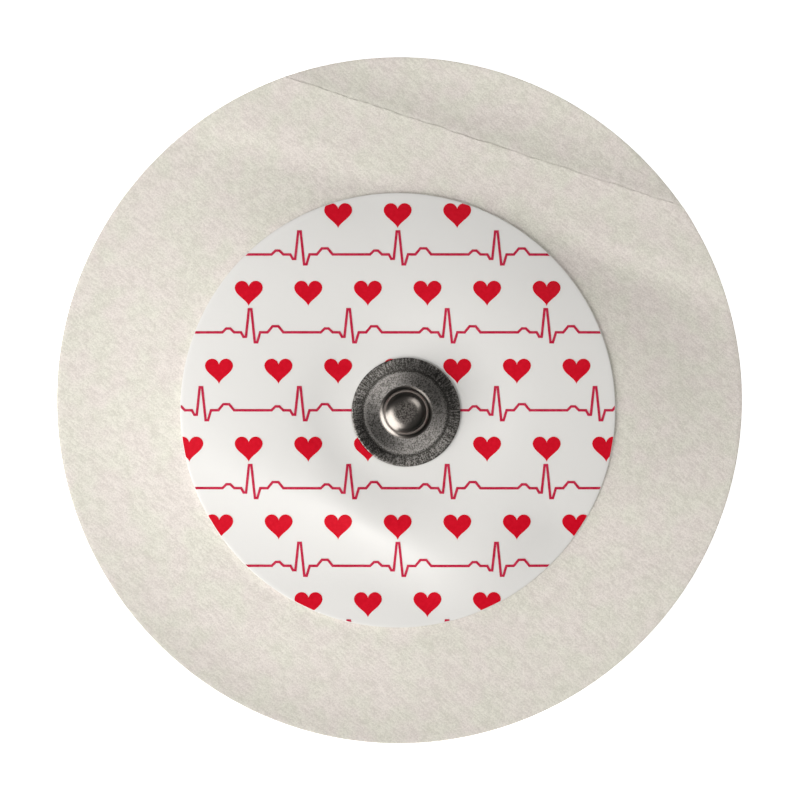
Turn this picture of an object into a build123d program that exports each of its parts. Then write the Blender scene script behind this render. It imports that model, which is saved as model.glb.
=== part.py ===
# Disposable snap-stud ECG electrode, lying gel side down on its release liner. Millimetres.
# Origin: centre of the die-cut disc, on the underside of the release liner.
# +Z leaves through the snap stud. +Y points roughly towards the lift tab.

import os
from math import cos, radians, sin

from build123d import *

# Round die-cut outlines. The label and the stud stand a little off the disc's centre, as assembled.
disc_diameter = 60.0
label_diameter = 38.0
label_centre = (-0.15, -0.91)
stud_centre = (0.58, -1.08)

# Sheets
liner_thickness = 0.15
cloth_thickness = 0.4
label_thickness = 0.2
stud_sheet = 0.25

# Gel pad: thickest near its rim, pressed thinner under the sensor
gel_diameter = 22.4
gel_rim_thickness = 1.5
gel_centre_thickness = 0.65
gel_edge_radius = 0.4

# Drape of the cloth: level under the stud, a crest over the gel's rim, then down to the liner
dish_margin = 0.5
landing_radius = 25.0

# Lap: the backing's straight edge lies on the lift tab, pressed thin, and the two bow up there to a low ridge
chord_distance = 23.75
chord_angle = 71.9
tab_overlap = 4.0
lap_ramp = 5.0
ridge_rise = 0.12
lap_edge = 0.06

# Snap stud, drawn from sheet: flat flange, shallow step, coned platform, neck and button head, from the rim in
flange_diameter = 9.5
flange_edge_radius = 0.1
platform_diameter = 7.0
step_height = 0.06
step_run = 0.45
step_root_radius = 1.0
step_crest_radius = 1.5
platform_rise = 0.08
neck_diameter = 3.5
neck_height = 0.89
neck_root_radius = 0.7
flare_height = 0.25
flare_radius = 0.3
head_diameter = 3.9
head_height = 1.55
head_shoulder_radius = 0.95

# Sensor eyelet, moulded and silver-coated, pressed into the stud from below
sensor_diameter = 9.2
sensor_thickness = 0.5
sensor_edge_radius = 0.15
post_clearance = 0.01
post_tip_gap = 0.1
post_tip_radius = 0.5
punch_clearance = 0.1
pocket_clearance = 0.05

# Levels, from the liner up
liner_top = liner_thickness
tab_top = liner_top + cloth_thickness
sensor_bottom = liner_top + gel_centre_thickness
dish_level = sensor_bottom + sensor_thickness
crest_level = liner_top + gel_rim_thickness
stud_bottom = dish_level + cloth_thickness + label_thickness
flange_top = stud_bottom + stud_sheet
platform_edge_level = flange_top + step_height
platform_level = platform_edge_level + platform_rise
neck_top = platform_level + neck_height
head_bottom = neck_top + flare_height
head_top = head_bottom + head_height
post_tip = head_top - stud_sheet - post_tip_gap

# Radii and distances that follow from the sizes above
disc_radius = disc_diameter / 2
gel_radius = gel_diameter / 2
crest_radius = gel_radius - gel_edge_radius
flange_radius = flange_diameter / 2
platform_radius = platform_diameter / 2
dish_radius = flange_radius + dish_margin
tab_inner_distance = chord_distance - tab_overlap
lap_start_distance = tab_inner_distance - lap_ramp
tab_bow = cloth_thickness + ridge_rise - lap_edge
head_radius = head_diameter / 2
neck_radius = neck_diameter / 2
sensor_radius = sensor_diameter / 2
post_radius = neck_radius - stud_sheet - post_clearance
punch_radius = post_radius + punch_clearance
tool_reach = 2 * disc_diameter

# Section planes, with local X outwards and local Y up, and the plan of the straight edge
stud_section = Plane(origin=(*stud_centre, 0), x_dir=(1, 0, 0), z_dir=(0, -1, 0))
stud_axis = Axis((*stud_centre, 0), (0, 0, 1))
chord_x = cos(radians(chord_angle))
chord_y = sin(radians(chord_angle))
lap_section = Plane(origin=(0, 0, 0), x_dir=(chord_x, chord_y, 0), z_dir=(chord_y, -chord_x, 0))
lap_plan = Plane(origin=(0, 0, 0), x_dir=(chord_x, chord_y, 0), z_dir=(0, 0, 1))


def ogee(start, end):
    """Two equal tangent arcs from one level to another, level at both ends."""
    middle = (Vector(start) + Vector(end)) / 2
    first = TangentArc(start, middle, tangent=(1, 0))
    TangentArc(middle, end, tangent=first % 1)


def bow(level, rise):
    """From the tab's inner edge, where it is level, up to the ridge."""
    return TangentArc((tab_inner_distance, level), (chord_distance, level + rise), tangent=(1, 0))


def fill_under_sheet(lift, rise, mode):
    """The space under a sheet draped this far above sensor, gel, liner and tab, with its rise to the ridge."""
    dish = dish_level + lift
    crest = crest_level + lift
    rim = liner_top + lift
    lap = tab_top + lift
    with BuildSketch(stud_section) as drape:
        with BuildLine():
            Polyline((0, 0), (0, dish), (dish_radius, dish))
            ogee((dish_radius, dish), (crest_radius, crest))
            ogee((crest_radius, crest), (landing_radius, rim))
            Polyline((landing_radius, rim), (tool_reach, rim), (tool_reach, 0), (0, 0))
        make_face()
    revolve(drape.sketch, axis=stud_axis, mode=mode)
    with BuildSketch(lap_section) as climb:
        with BuildLine():
            ogee((lap_start_distance, rim), (tab_inner_distance, lap))
            ridge = bow(lap, rise)
            Polyline(ridge @ 1, (chord_distance, 0), (lap_start_distance, 0), (lap_start_distance, rim))
        make_face()
    extrude(climb.sketch, amount=tool_reach, both=True, mode=mode)


def keep_inside_circle(diameter, centre):
    """Die-cut the sheet to a circle."""
    with BuildSketch(Plane.XY) as outline:
        with Locations(centre):
            Circle(diameter / 2)
    extrude(outline.sketch, amount=tool_reach, mode=Mode.INTERSECT)


def cut_beyond_chord():
    """Cut the sheet off along the straight edge of the lap."""
    with BuildSketch(lap_plan) as outside:
        with Locations((chord_distance, 0)):
            Rectangle(tool_reach, tool_reach, align=(Align.MIN, Align.CENTER))
    extrude(outside.sketch, amount=tool_reach, mode=Mode.SUBTRACT)


def punch_post_hole():
    """The hole that the eyelet's post goes through."""
    with BuildSketch(Plane.XY) as punch:
        with Locations(stud_centre):
            Circle(punch_radius)
    extrude(punch.sketch, amount=tool_reach, mode=Mode.SUBTRACT)


with BuildPart() as release_liner:
    with BuildSketch(Plane.XY):
        Circle(disc_radius)
    extrude(amount=liner_thickness)

with BuildPart() as lift_tab:
    with BuildSketch(lap_section):
        with BuildLine():
            for level in (liner_top, tab_top):
                ridge = bow(level, tab_bow)
                TangentArc((disc_radius, level), ridge @ 1, tangent=(-1, 0))
            Line((tab_inner_distance, liner_top), (tab_inner_distance, tab_top))
            Line((disc_radius, liner_top), (disc_radius, tab_top))
        make_face()
    extrude(amount=tool_reach, both=True)
    keep_inside_circle(disc_diameter, (0, 0))

with BuildPart() as cloth_backing:
    fill_under_sheet(cloth_thickness, ridge_rise, Mode.ADD)
    fill_under_sheet(0, tab_bow, Mode.SUBTRACT)
    keep_inside_circle(disc_diameter, (0, 0))
    cut_beyond_chord()
    punch_post_hole()

with BuildPart() as label_disc:
    fill_under_sheet(cloth_thickness + label_thickness, ridge_rise, Mode.ADD)
    fill_under_sheet(cloth_thickness, ridge_rise, Mode.SUBTRACT)
    keep_inside_circle(label_diameter, label_centre)
    punch_post_hole()

with BuildPart() as gel_pad:
    pocket_radius = sensor_radius + pocket_clearance
    with BuildSketch(stud_section):
        with BuildLine():
            Polyline(
                (0, liner_top),
                (0, sensor_bottom),
                (pocket_radius, sensor_bottom),
                (pocket_radius, dish_level),
                (dish_radius, dish_level),
            )
            ogee((dish_radius, dish_level), (crest_radius, crest_level))
            edge = JernArc((crest_radius, crest_level), (1, 0), gel_edge_radius, -90)
            Polyline(edge @ 1, (gel_radius, liner_top), (0, liner_top))
        make_face()
    revolve(axis=stud_axis)

with BuildPart() as sensor_eyelet:
    with BuildSketch(stud_section):
        with BuildLine():
            Polyline(
                (0, sensor_bottom),
                (sensor_radius, sensor_bottom),
                (sensor_radius, dish_level),
                (post_radius, dish_level),
                (post_radius, post_tip),
                (0, post_tip),
                close=True,
            )
        make_face()
    revolve(axis=stud_axis)
    fillet(sensor_eyelet.edges().group_by(Axis.Z)[0], sensor_edge_radius)
    fillet(sensor_eyelet.edges().group_by(Axis.Z)[-1], post_tip_radius)

with BuildPart() as snap_stud:
    with BuildSketch(stud_section) as stud_profile:
        with BuildLine():
            # The sheet's outer face, from the rim of the flange to the middle of the head
            FilletPolyline(
                (flange_radius, flange_top),
                (platform_radius + step_run, flange_top),
                (platform_radius, platform_edge_level),
                (neck_radius, platform_level),
                (neck_radius, neck_top),
                (head_radius, head_bottom),
                (head_radius, head_top),
                (0, head_top),
                radius=[
                    step_root_radius,
                    step_crest_radius,
                    neck_root_radius,
                    flare_radius,
                    flare_radius,
                    head_shoulder_radius,
                ],
            )
            offset(amount=stud_sheet, side=Side.LEFT)
        make_face()
        fillet(stud_profile.vertices().group_by(Axis.X)[-1], flange_edge_radius)
    revolve(axis=stud_axis)

release_liner.part.label = "release_liner"
lift_tab.part.label = "lift_tab"
cloth_backing.part.label = "cloth_backing"
label_disc.part.label = "label_disc"
gel_pad.part.label = "gel_pad"
sensor_eyelet.part.label = "sensor_eyelet"
snap_stud.part.label = "snap_stud"

os.makedirs("parts", exist_ok=True)
export_step(release_liner.part, "parts/release_liner.step")
export_step(lift_tab.part, "parts/lift_tab.step")
export_step(cloth_backing.part, "parts/cloth_backing.step")
export_step(label_disc.part, "parts/label_disc.step")
export_step(gel_pad.part, "parts/gel_pad.step")
export_step(sensor_eyelet.part, "parts/sensor_eyelet.step")
export_step(snap_stud.part, "parts/snap_stud.step")
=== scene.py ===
# Snap-stud ECG electrode lying on a white table, seen from straight above. Metres.
import math

import bmesh
import bpy
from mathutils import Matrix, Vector


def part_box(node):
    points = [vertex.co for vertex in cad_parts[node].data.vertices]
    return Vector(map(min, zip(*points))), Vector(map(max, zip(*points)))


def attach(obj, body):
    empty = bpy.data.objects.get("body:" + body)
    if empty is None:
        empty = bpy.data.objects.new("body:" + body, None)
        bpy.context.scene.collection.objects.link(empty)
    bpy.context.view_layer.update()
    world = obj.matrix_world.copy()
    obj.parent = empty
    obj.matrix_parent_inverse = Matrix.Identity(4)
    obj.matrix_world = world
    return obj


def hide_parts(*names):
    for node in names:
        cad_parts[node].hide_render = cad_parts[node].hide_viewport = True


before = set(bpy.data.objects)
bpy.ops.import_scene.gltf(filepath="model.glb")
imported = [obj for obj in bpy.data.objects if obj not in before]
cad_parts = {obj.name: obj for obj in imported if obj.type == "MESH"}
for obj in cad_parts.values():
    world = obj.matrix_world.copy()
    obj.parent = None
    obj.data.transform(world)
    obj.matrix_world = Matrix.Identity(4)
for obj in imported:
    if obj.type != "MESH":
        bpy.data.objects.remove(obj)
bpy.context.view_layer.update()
mm = 0.001
print("frame loaded:", ", ".join(sorted(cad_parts)))


# Where the sheets lie: read from the frame, with the drape's and the lap's own sizes
studLow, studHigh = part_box("snap_stud")
labelLow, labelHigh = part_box("label_disc")
linerLow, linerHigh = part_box("release_liner")
gelLow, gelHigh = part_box("gel_pad")
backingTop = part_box("cloth_backing")[1].z
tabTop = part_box("lift_tab")[1].z
gelEdgeRound = 0.4 * mm
dishMargin = 0.5 * mm  # the cloth stays level this far past the stud's flange
chordAngle = math.radians(71.9)
lay = {
    "studAxis": (studLow + studHigh).xy / 2,
    "labelCentre": (labelLow + labelHigh).xy / 2,
    "labelRadius": (labelHigh.x - labelLow.x) / 2,
    "discRadius": (linerHigh.x - linerLow.x) / 2,
    "linerTop": linerHigh.z,
    "clothThickness": backingTop - gelHigh.z,
    "labelThickness": labelHigh.z - backingTop,
    "crestLevel": gelHigh.z,
    "crestRadius": (gelHigh.x - gelLow.x) / 2 - gelEdgeRound,
    "dishRadius": (studHigh.x - studLow.x) / 2 + dishMargin,
    "landingRadius": 25 * mm,
    "holeRadius": 1.59 * mm,
    "chordDirection": Vector((math.cos(chordAngle), math.sin(chordAngle))),
    "chordDistance": 23.75 * mm,
    "tabInner": 19.75 * mm,
    "lapStart": 14.75 * mm,
    "lapEdge": 0.015 * mm,  # the backing is pressed this thin at its straight edge
    "bowRun": 4.6 * mm,  # the tab comes down again over this far
    "softFold": 0.25 * mm,  # how gently the climb over the tab leaves the drape
    # Where the cloth lands further out or nearer: direction and spread in degrees, change of radius
    "slumps": (
        (0, 42, 11 * mm),
        (135, 40, 7 * mm),
        (178, 55, 7 * mm),
        (260, 60, -9 * mm),
        (316, 36, -4.5 * mm),
    ),
    "shelf": (260, 60, 0.5 * mm),  # where it lands short it stays this far above the liner
    # Where it leaves the gel further out or nearer, and where it bends over the gel's rim more sharply
    "crestShifts": ((240, 70, -1.3 * mm), (20, 70, 1.5 * mm)),
    "sharpCrest": (240, 70, 0.35),
    # Where the rim lifts off the liner: direction and spread in degrees, where it starts, how far it rises
    "rimLifts": (
        (262, 75, 14 * mm, 0.55 * mm),
        (250, 70, 24.5 * mm, 0.6 * mm),
        (72, 55, 24 * mm, 0.3 * mm),
    ),
    "labelLifts": ((315, 55, 16 * mm, -0.11 * mm),),  # where the label's edge is pressed into the cloth
}
lay["dishLevel"] = studLow.z - lay["labelThickness"] - lay["clothThickness"]
lay["alongLap"] = Vector((lay["chordDirection"].y, -lay["chordDirection"].x))
lay["tabBow"] = tabTop - lay["linerTop"] - lay["clothThickness"]
lay["ridgeRise"] = lay["tabBow"] + lay["lapEdge"] - lay["clothThickness"]


def swell(share, bend=0.5):  # an S-curve of two arcs, level at both ends, that meet at the bend
    share = max(0.0, min(1.0, share))
    return share**2 / bend if share < bend else 1 - (1 - share) ** 2 / (1 - bend)


def softMax(a, b, blend):  # the higher of two levels, rounded where they cross
    near = max(blend - abs(a - b), 0) / blend
    return max(a, b) + near**2 * blend / 4


def facing(x, y, direction, spread):  # 1 in this direction from the middle, fading to 0 at the spread
    turn = (math.degrees(math.atan2(y, x)) - direction + 180) % 360 - 180
    return math.cos(math.radians(90 * turn / spread)) ** 2 if abs(turn) < spread else 0.0


def ridge(x, y, rise):  # tab and backing bow up to a low ridge under the straight edge
    out = Vector((x, y)).dot(lay["chordDirection"])
    if out < lay["chordDistance"]:
        share = (out - lay["tabInner"]) / (lay["chordDistance"] - lay["tabInner"])
    else:
        share = 1 - (out - lay["chordDistance"]) / lay["bowRun"]
    return rise * max(0.0, share) ** 2


def edgeLift(x, y, radius, lifts):  # how far a round sheet's edge lies above what carries it
    lift = 0.0
    for direction, spread, start, rise in lifts:
        share = max(0.0, (math.hypot(x, y) - start) / (radius - start))
        lift += rise * share**2 * facing(x, y, direction, spread)
    return lift


def rimLift(x, y):  # the same for cloth and tab on the liner
    return edgeLift(x, y, lay["discRadius"], lay["rimLifts"])


def shifted(radius, x, y, shifts):  # a radius with the changes that hold in this direction
    return radius + sum(change * facing(x, y, *place) for *place, change in shifts)


def undersideHeight(x, y, ridgeRise=0.0):  # how far the cloth's underside lies above the table
    reach = math.hypot(x - lay["studAxis"].x, y - lay["studAxis"].y)
    crest = shifted(lay["crestRadius"], x, y, lay["crestShifts"])
    if reach < crest:
        share = (reach - lay["dishRadius"]) / (crest - lay["dishRadius"])
        drape = lay["dishLevel"] + (lay["crestLevel"] - lay["dishLevel"]) * swell(share)
    else:
        landing = shifted(lay["landingRadius"], x, y, lay["slumps"])
        *place, sharpening = lay["sharpCrest"]
        bend = 0.5 - sharpening * facing(x, y, *place)
        *place, shelf = lay["shelf"]
        level = lay["linerTop"] + shelf * facing(x, y, *place)
        share = (reach - crest) / (landing - crest)
        drape = lay["crestLevel"] + (level - lay["crestLevel"]) * swell(share, bend)
    out = x * lay["chordDirection"].x + y * lay["chordDirection"].y
    climb = swell((out - lay["lapStart"]) / (lay["tabInner"] - lay["lapStart"]))
    lap = lay["linerTop"] + lay["clothThickness"] * climb + ridge(x, y, ridgeRise)
    return softMax(drape, lap, lay["softFold"]) + rimLift(x, y)


def filmHeight(x, y):  # the label's underside, which lies on the cloth
    aside = Vector((x, y)) - lay["labelCentre"]
    lift = edgeLift(*aside, lay["labelRadius"], lay["labelLifts"])
    return undersideHeight(x, y) + lay["clothThickness"] + lift


# Shared helpers, and how near counts as the same place
weldNear = 0.001 * mm
cutNear = 0.0005 * mm
rimNear = 0.005 * mm


def linear(hexColour):  # sRGB hex to linear RGBA
    channels = [int(hexColour[i : i + 2], 16) / 255 for i in (1, 3, 5)]
    return [c / 12.92 if c <= 0.04045 else ((c + 0.055) / 1.055) ** 2.4 for c in channels] + [1.0]


def perMetre(sizeInMm):  # a pattern's scale on Object coordinates
    return 1 / (sizeInMm * mm)


def addNode(tree, kind, inputs=None, output=0, **settings):  # gives back one of the new node's outputs
    made = tree.nodes.new(kind)
    for name, value in settings.items():
        setattr(made, name, value)
    for name, value in (inputs or {}).items():
        if isinstance(value, bpy.types.NodeSocket):
            tree.links.new(value, made.inputs[name])
        else:
            made.inputs[name].default_value = value
    return made.outputs[output] if made.outputs else None


def newMaterial(name):
    material = bpy.data.materials.new(name)
    material.use_nodes = True
    material.node_tree.nodes.clear()
    return material, material.node_tree


def aboutAxis(tree, place, centre):  # the place seen from an upright axis, and its distance from that
    flat = addNode(
        tree,
        "ShaderNodeMapping",
        {"Vector": place, "Location": (-centre.x, -centre.y, 0), "Scale": (1, 1, 0)},
    )
    radius = addNode(tree, "ShaderNodeVectorMath", {0: flat}, output="Value", operation="LENGTH")
    return flat, radius


def bevelEdges(bm, edges, width, segments):
    bmesh.ops.bevel(
        bm,
        geom=edges,
        offset=width,
        offset_type="OFFSET",
        segments=segments,
        profile=0.5,
        affect="EDGES",
        material=-1,
    )


def finishPiece(name, bm, material, node=None, sharpAngle=40):
    mesh = bpy.data.meshes.new(name)
    bm.to_mesh(mesh)
    bm.free()
    mesh.materials.append(material)
    mesh.shade_smooth()
    mesh.set_sharp_from_angle(angle=math.radians(sharpAngle))
    piece = bpy.data.objects.new(name, mesh)
    bpy.context.scene.collection.objects.link(piece)
    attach(piece, "root")
    if node:
        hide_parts(node)
    return piece


def spinSection(bm, segments):  # turns a section about Z and closes the seam
    bmesh.ops.spin(
        bm,
        geom=bm.verts[:] + bm.edges[:],
        cent=(0, 0, 0),
        axis=(0, 0, 1),
        angle=2 * math.pi,
        steps=segments,
        use_merge=True,
    )
    bmesh.ops.remove_doubles(bm, verts=bm.verts[:], dist=weldNear)
    bmesh.ops.recalc_face_normals(bm, faces=bm.faces[:])


def spinWasher(holeCentre, holeRadius, rimCentre, rimRadius, thickness, rings, segments):
    # A flat ring: its section is spun, then each circle slides to its own centre
    bm = bmesh.new()
    section = ((holeRadius, 0), (rimRadius, 0), (rimRadius, thickness), (holeRadius, thickness))
    corners = [bm.verts.new((r, 0, z)) for r, z in section]
    sides = [bm.edges.new((corners[i], corners[(i + 1) % 4])) for i in range(4)]
    bmesh.ops.subdivide_edges(bm, edges=[sides[0], sides[2]], cuts=rings - 1)
    spinSection(bm, segments)
    for vert in bm.verts:
        share = (vert.co.xy.length - holeRadius) / (rimRadius - holeRadius)
        centre = Vector(holeCentre).lerp(Vector(rimCentre), share)
        vert.co += centre.to_3d()
    return bm


def rimEdges(bm, centre, radius, height):  # the edges along a level circle
    def onRim(vert):
        reach = (vert.co.xy - Vector(centre)).length
        return abs(reach - radius) < rimNear and abs(vert.co.z - height) < rimNear

    return [edge for edge in bm.edges if onRim(edge.verts[0]) and onRim(edge.verts[1])]


def cutStraight(bm, distance, keep):
    # Cuts a flat sheet along a line parallel to the lap. Where a side is cleared, quads close the cut.
    direction = lay["chordDirection"].to_3d()
    cut = bmesh.ops.bisect_plane(
        bm,
        geom=bm.verts[:] + bm.edges[:] + bm.faces[:],
        dist=cutNear,
        plane_co=direction * distance,
        plane_no=direction,
        clear_outer=keep == "inside",
        clear_inner=keep == "outside",
    )
    if keep == "both":
        return
    edges = [e for e in cut["geom_cut"] if isinstance(e, bmesh.types.BMEdge) and e.is_boundary]
    level = [e for e in edges if abs(e.verts[0].co.z - e.verts[1].co.z) < weldNear]
    bmesh.ops.bridge_loops(bm, edges=level)
    bmesh.ops.recalc_face_normals(bm, faces=bm.faces[:])


# Non-woven polyester: fibres laid in a web and bonded, which gives a dull felt with short streaks.
# Single fibres are too fine to show, so streaks and grain are as coarse as small bundles of them.
def makeNonwoven():
    look = {
        "light": "#E3DED5",
        "dark": "#C4BEB5",
        "rosy": "#DCCECA",
        "greenish": "#D2D3C0",
        "tintShare": 0.3,  # how much of the two tints shows in the cream
        "tintRange": (0.35, 0.65),
        "grainWeight": 1.9,  # grain and clumps beside the streaks, which count once
        "clumpWeight": 0.6,
        "webRange": (1.42, 2.08),  # from the darkest to the lightest of their sum
        "fibreTurn": 40,  # degrees
        # Sizes in mm
        "fibreWidth": 0.2,
        "fibreLength": 0.9,
        "grain": 0.14,
        "clump": 0.8,
        "tint": 2.1,
        "relief": 0.012,
        "lip": 0.028,  # the fibres stand up to the label's edge
        "lipWidth": 1.0,
    }
    darkest, lightest = look["webRange"]
    rosiest, greenest = look["tintRange"]
    material, tree = newMaterial("bonded nonwoven polyester")
    place = addNode(tree, "ShaderNodeTexCoord", output="Object")
    turned = addNode(
        tree, "ShaderNodeMapping", {"Vector": place, "Rotation": (0, 0, math.radians(look["fibreTurn"]))}
    )
    wide = perMetre(look["fibreWidth"])
    stretched = addNode(
        tree, "ShaderNodeMapping", {"Vector": turned, "Scale": (perMetre(look["fibreLength"]), wide, wide)}
    )
    streak = addNode(tree, "ShaderNodeTexNoise", {"Vector": stretched, "Scale": 1.0, "Detail": 2.0})
    grain = addNode(
        tree,
        "ShaderNodeTexNoise",
        {"Vector": place, "Scale": perMetre(look["grain"]), "Detail": 2.0, "Roughness": 0.7},
    )
    clump = addNode(
        tree, "ShaderNodeTexNoise", {"Vector": place, "Scale": perMetre(look["clump"]), "Detail": 2.0}
    )
    patch = addNode(
        tree, "ShaderNodeTexNoise", {"Vector": place, "Scale": perMetre(look["tint"]), "Detail": 1.0}
    )
    felt = addNode(
        tree, "ShaderNodeMath", {0: grain, 1: look["grainWeight"], 2: streak}, operation="MULTIPLY_ADD"
    )
    web = addNode(
        tree, "ShaderNodeMath", {0: clump, 1: look["clumpWeight"], 2: felt}, operation="MULTIPLY_ADD"
    )
    pale = addNode(tree, "ShaderNodeMapRange", {"Value": web, "From Min": darkest, "From Max": lightest})
    tone = addNode(
        tree,
        "ShaderNodeMix",
        {"Factor": pale, 6: linear(look["dark"]), 7: linear(look["light"])},
        output=2,
        data_type="RGBA",
    )
    cast = addNode(tree, "ShaderNodeMapRange", {"Value": patch, "From Min": rosiest, "From Max": greenest})
    tint = addNode(
        tree,
        "ShaderNodeMix",
        {"Factor": cast, 6: linear(look["rosy"]), 7: linear(look["greenish"])},
        output=2,
        data_type="RGBA",
    )
    colour = addNode(
        tree, "ShaderNodeMix", {"Factor": look["tintShare"], 6: tone, 7: tint}, output=2, data_type="RGBA"
    )
    _, reach = aboutAxis(tree, place, lay["labelCentre"])
    beside = addNode(
        tree,
        "ShaderNodeMapRange",
        {
            "Value": reach,
            "From Min": lay["labelRadius"],
            "From Max": lay["labelRadius"] + look["lipWidth"] * mm,
            "To Min": 1.0,
            "To Max": 0.0,
        },
    )
    lip = addNode(tree, "ShaderNodeMath", {0: beside, 1: 2.0}, operation="POWER")
    raised = addNode(tree, "ShaderNodeBump", {"Height": lip, "Strength": 1.0, "Distance": look["lip"] * mm})
    bump = addNode(
        tree,
        "ShaderNodeBump",
        {"Height": web, "Strength": 1.0, "Distance": look["relief"] * mm, "Normal": raised},
    )
    shader = addNode(
        tree,
        "ShaderNodeBsdfPrincipled",
        {
            "Base Color": colour,
            "Roughness": 0.92,
            "Specular IOR Level": 0.2,
            "Sheen Weight": 0.1,
            "Normal": bump,
        },
    )
    addNode(tree, "ShaderNodeOutputMaterial", {"Surface": shader})
    return material


nonwoven = makeNonwoven()

# Cloth backing: a round sheet draped over gel and liner, with one straight edge lapped over the tab
clothBacking = {
    "rings": 76,
    "segments": 420,
    "sharpAngle": 50,
    "edgeRound": 0.05 * mm,
    "edgeSteps": 3,
    "edgeRows": (2.4 * mm, 1.2 * mm, 0.6 * mm, 0.3 * mm),  # rows of edges beside the straight cut
    "wander": 0.03 * mm,  # how far the soft straight edge strays
    "wanderDepth": 1.2 * mm,  # the cloth follows that this far in
    "waves": (0.9 * mm, 0.37 * mm),  # the two wavelengths of that, over 2 pi
}


def edgeWander(spot):  # how far the straight edge strays outwards here
    along = spot.dot(lay["alongLap"])
    inset = lay["chordDistance"] - spot.dot(lay["chordDirection"])
    fade = max(0.0, 1 - inset / clothBacking["wanderDepth"])
    return clothBacking["wander"] * fade * sum(math.sin(along / wave) for wave in clothBacking["waves"])


def makeClothBacking():
    thickness = lay["clothThickness"]
    bm = spinWasher(
        lay["studAxis"],
        lay["holeRadius"],
        (0, 0),
        lay["discRadius"],
        thickness,
        clothBacking["rings"],
        clothBacking["segments"],
    )
    rim = rimEdges(bm, (0, 0), lay["discRadius"], thickness)
    bevelEdges(bm, rim, clothBacking["edgeRound"], clothBacking["edgeSteps"])
    for row in clothBacking["edgeRows"]:
        cutStraight(bm, lay["chordDistance"] - row, "both")
    cutStraight(bm, lay["chordDistance"], "inside")
    for vert in bm.verts:
        rise = lay["ridgeRise"] if vert.co.z > thickness / 2 else lay["tabBow"]
        vert.co.z += undersideHeight(vert.co.x, vert.co.y, rise)
        vert.co += (lay["chordDirection"] * edgeWander(vert.co.xy)).to_3d()
    piece = finishPiece(
        "clothBacking", bm, nonwoven, "cloth_backing", clothBacking["sharpAngle"]
    )
    print("cloth backing:", len(piece.data.polygons), "faces")


makeClothBacking()

# Lift tab: the rest of the circle in the same cloth, under the straight edge
liftTab = {
    "rings": 30,
    "segments": 420,
    "sharpAngle": 50,
    "innerRadius": 18 * mm,  # of the ring that it is cut from
    "edgeRound": 0.05 * mm,
    "edgeSteps": 3,
}


def makeLiftTab():
    thickness = lay["clothThickness"]
    bm = spinWasher(
        (0, 0),
        liftTab["innerRadius"],
        (0, 0),
        lay["discRadius"],
        thickness,
        liftTab["rings"],
        liftTab["segments"],
    )
    rim = rimEdges(bm, (0, 0), lay["discRadius"], thickness)
    bevelEdges(bm, rim, liftTab["edgeRound"], liftTab["edgeSteps"])
    cutStraight(bm, lay["tabInner"], "outside")
    for vert in bm.verts:
        x, y = vert.co.xy
        vert.co.z += lay["linerTop"] + ridge(x, y, lay["tabBow"]) + rimLift(x, y)
    piece = finishPiece("liftTab", bm, nonwoven, "lift_tab", liftTab["sharpAngle"])
    print("lift tab:", len(piece.data.polygons), "faces")


makeLiftTab()


# Polyethylene label film: extruded and smooth, white, with a soft gloss
def makeLabelFilm():
    look = {
        "film": "#DBD9D5",
        "glossy": 0.34,  # roughness from here
        "dull": 0.46,  # to here
        # Sizes in mm
        "ripple": 1.6,
        "rippleRelief": 0.03,
        "grain": 0.25,
        "grainRelief": 0.01,
    }
    material, tree = newMaterial("white polyethylene film")
    place = addNode(tree, "ShaderNodeTexCoord", output="Object")
    ripple = addNode(
        tree, "ShaderNodeTexNoise", {"Vector": place, "Scale": perMetre(look["ripple"]), "Detail": 2.0}
    )
    grain = addNode(
        tree, "ShaderNodeTexNoise", {"Vector": place, "Scale": perMetre(look["grain"]), "Detail": 2.0}
    )
    rough = addNode(
        tree,
        "ShaderNodeMapRange",
        {
            "Value": grain,
            "From Min": 0.3,
            "From Max": 0.7,
            "To Min": look["glossy"],
            "To Max": look["dull"],
        },
    )
    broad = addNode(
        tree, "ShaderNodeBump", {"Height": ripple, "Strength": 0.5, "Distance": look["rippleRelief"] * mm}
    )
    fine = addNode(
        tree,
        "ShaderNodeBump",
        {"Height": grain, "Strength": 0.35, "Distance": look["grainRelief"] * mm, "Normal": broad},
    )
    shader = addNode(
        tree,
        "ShaderNodeBsdfPrincipled",
        {"Base Color": linear(look["film"]), "Roughness": rough, "IOR": 1.51, "Normal": fine},
    )
    addNode(tree, "ShaderNodeOutputMaterial", {"Surface": shader})
    return material


labelFilm = makeLabelFilm()

# Label disc: printed film laid on the cloth, following the gel's rim
labelDisc = {"rings": 56, "segments": 320, "sharpAngle": 50, "edgeRound": 0.02 * mm, "edgeSteps": 3}


def makeLabelDisc():
    thickness = lay["labelThickness"]
    bm = spinWasher(
        lay["studAxis"],
        lay["holeRadius"],
        lay["labelCentre"],
        lay["labelRadius"],
        thickness,
        labelDisc["rings"],
        labelDisc["segments"],
    )
    rim = rimEdges(bm, lay["labelCentre"], lay["labelRadius"], thickness)
    bevelEdges(bm, rim, labelDisc["edgeRound"], labelDisc["edgeSteps"])
    for vert in bm.verts:
        vert.co.z += filmHeight(vert.co.x, vert.co.y)
    piece = finishPiece("labelDisc", bm, labelFilm, "label_disc", labelDisc["sharpAngle"])
    print("label disc:", len(piece.data.polygons), "faces")


makeLabelDisc()


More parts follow.
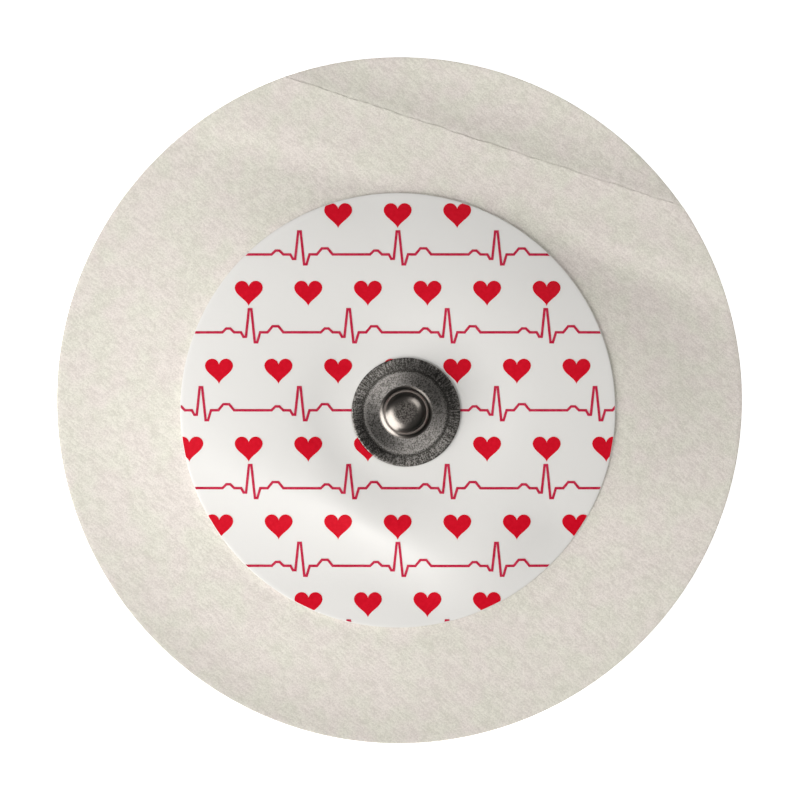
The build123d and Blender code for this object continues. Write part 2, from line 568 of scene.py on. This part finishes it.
# Screen ink: pigment laid flat on the film, matt, a little uneven in density
def makeInk(name, dense, thin, mottle=0.3):  # the mottle's size in mm
    material, tree = newMaterial(name)
    place = addNode(tree, "ShaderNodeTexCoord", output="Object")
    cover = addNode(tree, "ShaderNodeTexNoise", {"Vector": place, "Scale": perMetre(mottle), "Detail": 3.0})
    share = addNode(tree, "ShaderNodeMapRange", {"Value": cover, "From Min": 0.35, "From Max": 0.75})
    colour = addNode(
        tree,
        "ShaderNodeMix",
        {"Factor": share, 6: linear(dense), 7: linear(thin)},
        output=2,
        data_type="RGBA",
    )
    shader = addNode(
        tree,
        "ShaderNodeBsdfPrincipled",
        {"Base Color": colour, "Roughness": 0.5, "Specular IOR Level": 0.1},
    )
    addNode(tree, "ShaderNodeOutputMaterial", {"Surface": shader})
    return material


boldInk = makeInk("red screen ink", "#C2001C", "#CC0A24")
lineInk = makeInk("crimson screen ink", "#B01236", "#C23450")

# Print: rows of hearts between rows of heartbeat lines, cut off at the label's edge
printRows = {
    "rowPitch": 3.4 * mm,
    "heartPitch": 5.2 * mm,
    "heartSize": 2.3 * mm,
    "heartPoints": 40,
    "beatPitch": 8.6 * mm,
    "beatHeight": 2.4 * mm,
    "stroke": 0.22 * mm,
    "ink": 0.02 * mm,
    "cell": 0.45 * mm,  # the ink is cut this fine to follow the film
    "cutNear": 0.0002 * mm,
    "clipSides": 150,
    "margin": 0.05 * mm,
    "hiddenInset": 1.0 * mm,  # the ink ends this far inside the dish, under the stud's flange
    # One heartbeat: share of its pitch, share of its height
    "beat": (
        (0.0, 0.0), (0.22, 0.0), (0.26, 0.14), (0.3, 0.14), (0.34, 0.0), (0.41, 0.0),
        (0.435, -0.16), (0.46, -0.16), (0.49, 0.84), (0.515, 0.84), (0.55, -0.36), (0.575, -0.36),
        (0.605, 0.0), (0.68, 0.0), (0.73, 0.22), (0.79, 0.22), (0.84, 0.0),
    ),
}


def addHeart(bm, x, y, size):
    # The usual heart curve, about 30 units tall, with its middle 2.5 units below its origin
    tall, below = 30, 2.5
    outline = []
    for i in range(printRows["heartPoints"]):
        t = 2 * math.pi * i / printRows["heartPoints"]
        across = 16 * math.sin(t) ** 3
        up = 13 * math.cos(t) - 5 * math.cos(2 * t) - 2 * math.cos(3 * t) - math.cos(4 * t)
        outline.append(bm.verts.new((x - across * size / tall, y + (up + below) * size / tall, 0)))
    bm.faces.new(outline)


def addBeatRow(bm, x, y, beats):
    pitch, height = printRows["beatPitch"], printRows["beatHeight"]
    points = []
    for i in range(beats):
        for u, v in printRows["beat"]:
            points.append(Vector((x + (i + u) * pitch, y + v * height, 0)))
    left, right = [], []
    for i, point in enumerate(points):
        before = (point - points[i - 1]).normalized() if i else (points[1] - point).normalized()
        after = (points[i + 1] - point).normalized() if i + 1 < len(points) else before
        along = (before + after).normalized()
        across = Vector((-along.y, along.x, 0)) * printRows["stroke"] / 2 / along.dot(before)
        left.append(bm.verts.new(point + across))
        right.append(bm.verts.new(point - across))
    for i in range(len(points) - 1):
        bm.faces.new((right[i], right[i + 1], left[i + 1], left[i]))


def cutPlane(bm, point, normal, clear):
    bmesh.ops.bisect_plane(
        bm,
        geom=bm.verts[:] + bm.edges[:] + bm.faces[:],
        dist=printRows["cutNear"],
        plane_co=point,
        plane_no=normal,
        clear_outer=clear,
    )


def layInk(bm):
    # Clips the flat print to the label, cuts it into cells and lays it on the film
    centre = lay["labelCentre"].to_3d()
    radius = lay["labelRadius"] - printRows["margin"]
    for i in range(printRows["clipSides"]):
        turn = 2 * math.pi * i / printRows["clipSides"]
        normal = Vector((math.cos(turn), math.sin(turn), 0))
        cutPlane(bm, centre + normal * radius, normal, True)
    cells = math.ceil(radius / printRows["cell"])
    for i in range(-cells, cells + 1):
        for normal in (Vector((1, 0, 0)), Vector((0, 1, 0))):
            cutPlane(bm, centre + normal * i * printRows["cell"], normal, False)
    inkStart = lay["dishRadius"] - printRows["hiddenInset"]
    hidden = [f for f in bm.faces if (f.calc_center_median().xy - lay["studAxis"]).length < inkStart]
    bmesh.ops.delete(bm, geom=hidden, context="FACES")
    raised = bmesh.ops.extrude_face_region(bm, geom=bm.faces[:], use_keep_orig=True)
    top = [item for item in raised["geom"] if isinstance(item, bmesh.types.BMVert)]
    bmesh.ops.translate(bm, verts=top, vec=(0, 0, printRows["ink"]))
    bmesh.ops.recalc_face_normals(bm, faces=bm.faces[:])
    for vert in bm.verts:
        vert.co.z += filmHeight(vert.co.x, vert.co.y) + lay["labelThickness"]


def makePrint():
    hearts, lines = bmesh.new(), bmesh.new()
    rows = math.ceil(lay["labelRadius"] / printRows["rowPitch"])
    columns = math.ceil(lay["labelRadius"] / printRows["heartPitch"]) + 1
    beats = 2 * math.ceil(lay["labelRadius"] / printRows["beatPitch"]) + 1
    for row in range(-rows, rows + 1):
        y = lay["labelCentre"].y + row * printRows["rowPitch"]
        shift = 0.5 * (row // 2 % 2)  # every other row of a kind is half a step along
        if row % 2:
            for column in range(-columns, columns + 1):
                x = lay["labelCentre"].x + (column + shift) * printRows["heartPitch"]
                addHeart(hearts, x, y, printRows["heartSize"])
        else:
            x = lay["labelCentre"].x - (beats / 2 + shift) * printRows["beatPitch"]
            addBeatRow(lines, x, y, beats + 1)
    for name, bm, ink in (("printHearts", hearts, boldInk), ("printLines", lines, lineInk)):
        layInk(bm)
        piece = finishPiece(name, bm, ink)
        print(name + ":", len(piece.data.polygons), "faces")


makePrint()


# Nickel-plated steel, drawn and tumbled: a burnished head and neck, with a dull mottled crown
def makeBurnishedNickel():
    look = {
        "bright": "#857F79",
        "dull": "#2F2C2A",
        "spotRange": (0.42, 0.58),  # from clean to tarnished specks
        "burnished": 0.12,  # how much of the crown's mottle is left on the shoulder
        # Sizes in mm
        "speck": 0.13,
        "relief": 0.05,
        "crown": 0.7,
        "shoulder": 1.2,
    }
    clean, tarnished = look["spotRange"]
    material, tree = newMaterial("burnished nickel-plated steel")
    place = addNode(tree, "ShaderNodeTexCoord", output="Object")
    _, radius = aboutAxis(tree, place, lay["studAxis"])
    specks = addNode(
        tree,
        "ShaderNodeTexNoise",
        {"Vector": place, "Scale": perMetre(look["speck"]), "Detail": 3.0, "Roughness": 0.6},
    )
    # The crown is dull, the shoulder burnished
    crown = addNode(
        tree,
        "ShaderNodeMapRange",
        {
            "Value": radius,
            "From Min": look["crown"] * mm,
            "From Max": look["shoulder"] * mm,
            "To Min": 1.0,
            "To Max": look["burnished"],
        },
    )
    height = addNode(tree, "ShaderNodeMath", {0: specks, 1: crown}, operation="MULTIPLY")
    spots = addNode(
        tree,
        "ShaderNodeMapRange",
        {"Value": specks, "From Min": clean, "From Max": tarnished, "To Max": 0.9},
    )
    spotted = addNode(tree, "ShaderNodeMath", {0: spots, 1: crown}, operation="MULTIPLY")
    colour = addNode(
        tree,
        "ShaderNodeMix",
        {"Factor": spotted, 6: linear(look["bright"]), 7: linear(look["dull"])},
        output=2,
        data_type="RGBA",
    )
    rough = addNode(tree, "ShaderNodeMapRange", {"Value": crown, "To Min": 0.27, "To Max": 0.32})
    bump = addNode(
        tree, "ShaderNodeBump", {"Height": height, "Strength": 1.0, "Distance": look["relief"] * mm}
    )
    shader = addNode(
        tree,
        "ShaderNodeBsdfPrincipled",
        {"Base Color": colour, "Metallic": 1.0, "Roughness": rough, "Normal": bump},
    )
    addNode(tree, "ShaderNodeOutputMaterial", {"Surface": shader})
    return material


# The same sheet where the die dragged on it: a grainy dull grey that gleams across its radial draw marks
def makeDrawnNickel():
    look = {
        "bright": "#AFAAA5",
        "dull": "#45433F",
        "spotRange": (0.42, 0.6),  # from clean to tarnished specks
        "markRange": (0.38, 0.62),  # from faint to strong draw marks
        "markWidth": 1.9,  # degrees round the flange
        # Sizes in mm
        "markLength": 0.9,
        "markRelief": 0.03,
        "speck": 0.115,
        "speckRelief": 0.014,
        # Radii of the pressed ring in mm, from the painted highlight along its crest out past the painted
        # shade in its groove, and how far it stands off the axis
        "crest": 3.42,
        "crestHighlightWidth": 0.12,
        "grooveShadeStart": 3.52,
        "groove": 3.74,
        "ring": 3.92,
        "offAxis": -0.06,
    }
    clean, tarnished = look["spotRange"]
    faint, strong = look["markRange"]
    crest, crestHighlightWidth = look["crest"] * mm, look["crestHighlightWidth"] * mm
    groove, ring = look["groove"] * mm, look["ring"] * mm
    ringCentre = lay["studAxis"] + Vector((look["offAxis"], look["offAxis"])) * mm
    material, tree = newMaterial("drawn nickel-plated steel")
    place = addNode(tree, "ShaderNodeTexCoord", output="Object")
    flat, radius = aboutAxis(tree, place, ringCentre)
    # Noise wrapped round a cylinder, so that the marks have no seam
    turn = addNode(tree, "ShaderNodeVectorMath", {0: flat}, operation="NORMALIZE")
    marksRound = 1 / math.radians(look["markWidth"])
    around = addNode(
        tree, "ShaderNodeVectorMath", {0: turn, 1: [marksRound] * 3}, operation="MULTIPLY"
    )
    outwards = addNode(
        tree, "ShaderNodeMath", {0: radius, 1: perMetre(look["markLength"])}, operation="MULTIPLY"
    )
    along = addNode(tree, "ShaderNodeCombineXYZ", {"Z": outwards})
    polar = addNode(tree, "ShaderNodeVectorMath", {0: around, 1: along}, operation="ADD")
    marks = addNode(tree, "ShaderNodeTexNoise", {"Vector": polar, "Scale": 1.0, "Detail": 2.0})
    specks = addNode(
        tree,
        "ShaderNodeTexNoise",
        {"Vector": place, "Scale": perMetre(look["speck"]), "Detail": 3.0, "Roughness": 0.65},
    )
    # Tarnish in spots, painted shade darkening the groove, lighter along the draw marks on the ring, and a
    # painted highlight along the crest
    spots = addNode(
        tree,
        "ShaderNodeMapRange",
        {"Value": specks, "From Min": clean, "From Max": tarnished, "To Max": 0.85},
    )
    onRing = addNode(tree, "ShaderNodeMapRange", {"Value": radius, "From Min": groove, "From Max": ring})
    # Painted shade: darker towards the groove at the step's root, where shade falls
    grooveShade = addNode(
        tree,
        "ShaderNodeMapRange",
        {"Value": radius, "From Min": look["grooveShadeStart"] * mm, "From Max": groove, "To Max": 0.8},
    )
    # Painted highlight: a lighter line along the step's crest, standing in for its glint
    crestHighlightRise = addNode(
        tree, "ShaderNodeMapRange", {"Value": radius, "From Min": crest - crestHighlightWidth, "From Max": crest}
    )
    crestHighlightFall = addNode(
        tree,
        "ShaderNodeMapRange",
        {
            "Value": radius,
            "From Min": crest,
            "From Max": crest + crestHighlightWidth,
            "To Min": -0.25,
            "To Max": 0.0,
        },
    )
    ticks = addNode(
        tree,
        "ShaderNodeMapRange",
        {"Value": marks, "From Min": faint, "From Max": strong, "To Min": -0.1, "To Max": -0.7},
    )
    marksAndGrooveShade = addNode(tree, "ShaderNodeMath", {0: onRing, 1: ticks, 2: grooveShade}, operation="MULTIPLY_ADD")
    paintedLightAndMarks = addNode(
        tree, "ShaderNodeMath", {0: crestHighlightRise, 1: crestHighlightFall, 2: marksAndGrooveShade}, operation="MULTIPLY_ADD"
    )
    # This mix holds the tarnish specks together with the painted shade in the groove and the painted
    # highlight on the crest
    tarnishAndPaintedLight = addNode(tree, "ShaderNodeMath", {0: paintedLightAndMarks, 1: spots}, operation="ADD", use_clamp=True)
    colour = addNode(
        tree,
        "ShaderNodeMix",
        {"Factor": tarnishAndPaintedLight, 6: linear(look["bright"]), 7: linear(look["dull"])},
        output=2,
        data_type="RGBA",
    )
    rough = addNode(
        tree,
        "ShaderNodeMapRange",
        {"Value": specks, "From Min": 0.3, "From Max": 0.7, "To Min": 0.36, "To Max": 0.46},
    )
    scores = addNode(tree, "ShaderNodeMath", {0: marks, 1: onRing}, operation="MULTIPLY")
    grainy = addNode(
        tree, "ShaderNodeBump", {"Height": specks, "Strength": 1.0, "Distance": look["speckRelief"] * mm}
    )
    scored = addNode(
        tree,
        "ShaderNodeBump",
        {"Height": scores, "Strength": 0.8, "Distance": look["markRelief"] * mm, "Normal": grainy},
    )
    grainDirection = addNode(tree, "ShaderNodeTangent", direction_type="RADIAL", axis="Z")
    shader = addNode(
        tree,
        "ShaderNodeBsdfPrincipled",
        {
            "Base Color": colour,
            "Metallic": 1.0,
            "Roughness": rough,
            "Anisotropic": 0.75,
            "Tangent": grainDirection,
            "Normal": scored,
        },
    )
    addNode(tree, "ShaderNodeOutputMaterial", {"Surface": shader})
    return material


burnishedNickel = makeBurnishedNickel()
drawnNickel = makeDrawnNickel()

# Snap stud: one sheet drawn into flange, step, platform, neck and button head.
# Sizes in mm, heights from the flange's top.
snapStud = {
    "sheet": 0.25,
    "outline": (
        (4.75, 0),
        (3.95, 0),
        (3.5, 0.06),
        (1.75, 0.14),
        (1.75, 1.03),
        (1.95, 1.28),
        (1.95, 2.286),
        (1.228, 2.83),
        (0, 2.83),
    ),
    "rounds": (1.0, 1.5, 0.7, 0.3, 0.3, 0.5, 1.31),  # one for each inner corner of the outline
    "rimRound": 0.1,
    "burnished": 2.35,  # the burnished finish reaches out to this radius
    "segments": 192,
    "steps": 10,
    "rimSteps": 3,
    "sharpAngle": 60,
}


def makeSnapStud():
    base = studLow.z + snapStud["sheet"] * mm
    outline = [Vector((r * mm, 0, base + z * mm)) for r, z in snapStud["outline"]]
    bm = bmesh.new()
    verts = [bm.verts.new(point) for point in outline]
    for a, b in zip(verts, verts[1:]):
        bm.edges.new((a, b))
    spinSection(bm, snapStud["segments"])
    for i, radius in enumerate(snapStud["rounds"], 1):
        turn = (outline[i] - outline[i - 1]).angle(outline[i + 1] - outline[i])
        corner = rimEdges(bm, (0, 0), outline[i].x, outline[i].z)
        bevelEdges(bm, corner, radius * mm * math.tan(turn / 2), snapStud["steps"])
    top = max(bm.faces, key=lambda face: face.calc_center_median().z)
    if top.normal.z < 0:
        bmesh.ops.reverse_faces(bm, faces=bm.faces[:])
    bmesh.ops.solidify(bm, geom=bm.faces[:], thickness=snapStud["sheet"] * mm)
    rim = rimEdges(bm, (0, 0), outline[0].x, base)
    bevelEdges(bm, rim, snapStud["rimRound"] * mm, snapStud["rimSteps"])
    for face in bm.faces:
        face.material_index = int(face.calc_center_median().xy.length > snapStud["burnished"] * mm)
    bmesh.ops.translate(bm, verts=bm.verts[:], vec=lay["studAxis"].to_3d())
    piece = finishPiece("snapStud", bm, burnishedNickel, "snap_stud", snapStud["sharpAngle"])
    piece.data.materials.append(drawnNickel)
    low = min(vert.co.z for vert in piece.data.vertices)
    print("snap stud:", len(piece.data.polygons), "faces, underside at", round(low / mm, 3), "mm")


makeSnapStud()


# Hidden pieces keep their solids: hydrogel, silver-coated plastic and siliconed film
def makeHiddenFinish(name, light, dark, grainMm, shaderInputs):
    material, tree = newMaterial(name)
    place = addNode(tree, "ShaderNodeTexCoord", output="Object")
    scale = perMetre(grainMm)
    grain = addNode(tree, "ShaderNodeTexNoise", {"Vector": place, "Scale": scale, "Detail": 3.0})
    colour = addNode(
        tree,
        "ShaderNodeMix",
        {"Factor": grain, 6: linear(dark), 7: linear(light)},
        output=2,
        data_type="RGBA",
    )
    bump = addNode(tree, "ShaderNodeBump", {"Height": grain, "Strength": 0.3, "Distance": 0.01 * mm})
    shader = addNode(
        tree, "ShaderNodeBsdfPrincipled", {"Base Color": colour, "Normal": bump, **shaderInputs}
    )
    addNode(tree, "ShaderNodeOutputMaterial", {"Surface": shader})
    return material


hiddenFinishes = {
    "gel_pad": makeHiddenFinish(
        "cast hydrogel", "#D9DED2", "#C9D0C3", 1.5, {"Roughness": 0.15, "IOR": 1.36}
    ),
    "sensor_eyelet": makeHiddenFinish(
        "silver-coated ABS", "#9B9892", "#7F7C77", 0.2, {"Roughness": 0.45, "Metallic": 0.6}
    ),
    "release_liner": makeHiddenFinish(
        "siliconed polyester film", "#EDEFEF", "#E4E7E8", 3.0, {"Roughness": 0.25, "IOR": 1.57}
    ),
}
for name, material in hiddenFinishes.items():
    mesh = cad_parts[name].data
    mesh.materials.clear()
    mesh.materials.append(material)
print("hidden pieces finished:", ", ".join(hiddenFinishes))


# White table, two softboxes and a wall's bounce in a dim room, and a camera straight above
studio = {
    "tableSize": 3.0,
    "tableGap": 0.01 * mm,  # the table lies this far below the liner
    "table": "#F4F4F3",
    "tableGlow": 0.8,  # lit from below, so that hardly a shadow falls on it
    # Height angle in degrees, and how pale the room is there
    "room": ((35, 0.012), (62, 0.2), (78, 0.2), (85, 0.05)),
    "viewWidth": 70.05 * mm,  # the picture's width on the cloth
    "aim": (0.057 * mm, -0.014 * mm),
    "cameraHeight": 0.45,
    # Degrees anticlockwise from +X, height angle, distance, width, height, watts, whether metal shows it
    "softboxes": {
        "keySoftbox": (213, 32, 0.28, 0.3, 0.27, 1.42, True),
        "fillSoftbox": (45, 52, 0.5, 0.22, 0.22, 0.45, True),
        "wallBounce": (45, 60, 0.6, 0.5, 0.5, 0.7, False),
    },
}


def skyVector(direction, height):  # points from the middle of the table towards a light
    a, e = math.radians(direction), math.radians(height)
    return Vector((math.cos(a) * math.cos(e), math.sin(a) * math.cos(e), math.sin(e)))


def makeTable():
    bm = bmesh.new()
    bmesh.ops.create_grid(bm, x_segments=1, y_segments=1, size=studio["tableSize"] / 2)
    bmesh.ops.translate(bm, verts=bm.verts[:], vec=(0, 0, -studio["tableGap"]))
    mesh = bpy.data.meshes.new("table")
    bm.to_mesh(mesh)
    bm.free()
    material, tree = newMaterial("white acrylic light table")
    white = linear(studio["table"])
    shader = addNode(
        tree,
        "ShaderNodeBsdfPrincipled",
        {
            "Base Color": white,
            "Roughness": 0.9,
            "Emission Color": white,
            "Emission Strength": studio["tableGlow"],
        },
    )
    addNode(tree, "ShaderNodeOutputMaterial", {"Surface": shader})
    mesh.materials.append(material)
    table = bpy.data.objects.new("table", mesh)
    bpy.context.scene.collection.objects.link(table)


def makeLights():
    for name, (direction, height, distance, width, tall, watts, gleams) in studio["softboxes"].items():
        data = bpy.data.lights.new(name, "AREA")
        data.shape = "RECTANGLE"
        data.size = width
        data.size_y = tall
        data.energy = watts
        light = bpy.data.objects.new(name, data)
        towards = skyVector(direction, height)
        light.location = towards * distance
        light.visible_glossy = gleams
        light.rotation_mode = "QUATERNION"
        light.rotation_quaternion = towards.to_track_quat("Z", "Y")
        bpy.context.scene.collection.objects.link(light)
    world = bpy.data.worlds.new("dim room")
    world.use_nodes = True
    tree = world.node_tree
    tree.nodes.clear()
    gaze = addNode(tree, "ShaderNodeTexCoord", output="Generated")
    upwards = addNode(tree, "ShaderNodeSeparateXYZ", {"Vector": gaze}, output="Z")
    (horizon, horizonGlow), (ringFoot, ringGlow), (ringTop, _), (zenith, zenithGlow) = studio["room"]
    rising = addNode(
        tree,
        "ShaderNodeMapRange",
        {
            "Value": upwards,
            "From Min": math.sin(math.radians(horizon)),
            "From Max": math.sin(math.radians(ringFoot)),
            "To Min": horizonGlow,
            "To Max": ringGlow,
        },
    )
    fading = addNode(
        tree,
        "ShaderNodeMapRange",
        {
            "Value": upwards,
            "From Min": math.sin(math.radians(ringTop)),
            "From Max": math.sin(math.radians(zenith)),
            "To Min": 1.0,
            "To Max": zenithGlow / ringGlow,
        },
    )
    glow = addNode(tree, "ShaderNodeMath", {0: rising, 1: fading}, operation="MULTIPLY")
    room = addNode(tree, "ShaderNodeBackground", {"Strength": glow})
    addNode(tree, "ShaderNodeOutputWorld", {"Surface": room})
    bpy.context.scene.world = world


def makeCamera():
    data = bpy.data.cameras.new("camera")
    clothTop = lay["linerTop"] + lay["clothThickness"]
    data.lens = data.sensor_width * (studio["cameraHeight"] - clothTop) / studio["viewWidth"]
    data.clip_start = 0.01
    camera = bpy.data.objects.new("camera", data)
    camera.location = (*studio["aim"], studio["cameraHeight"])
    bpy.context.scene.collection.objects.link(camera)
    bpy.context.scene.camera = camera
    bpy.context.scene.view_settings.view_transform = "Standard"


makeTable()
makeLights()
makeCamera()
print("table, lights and camera set")
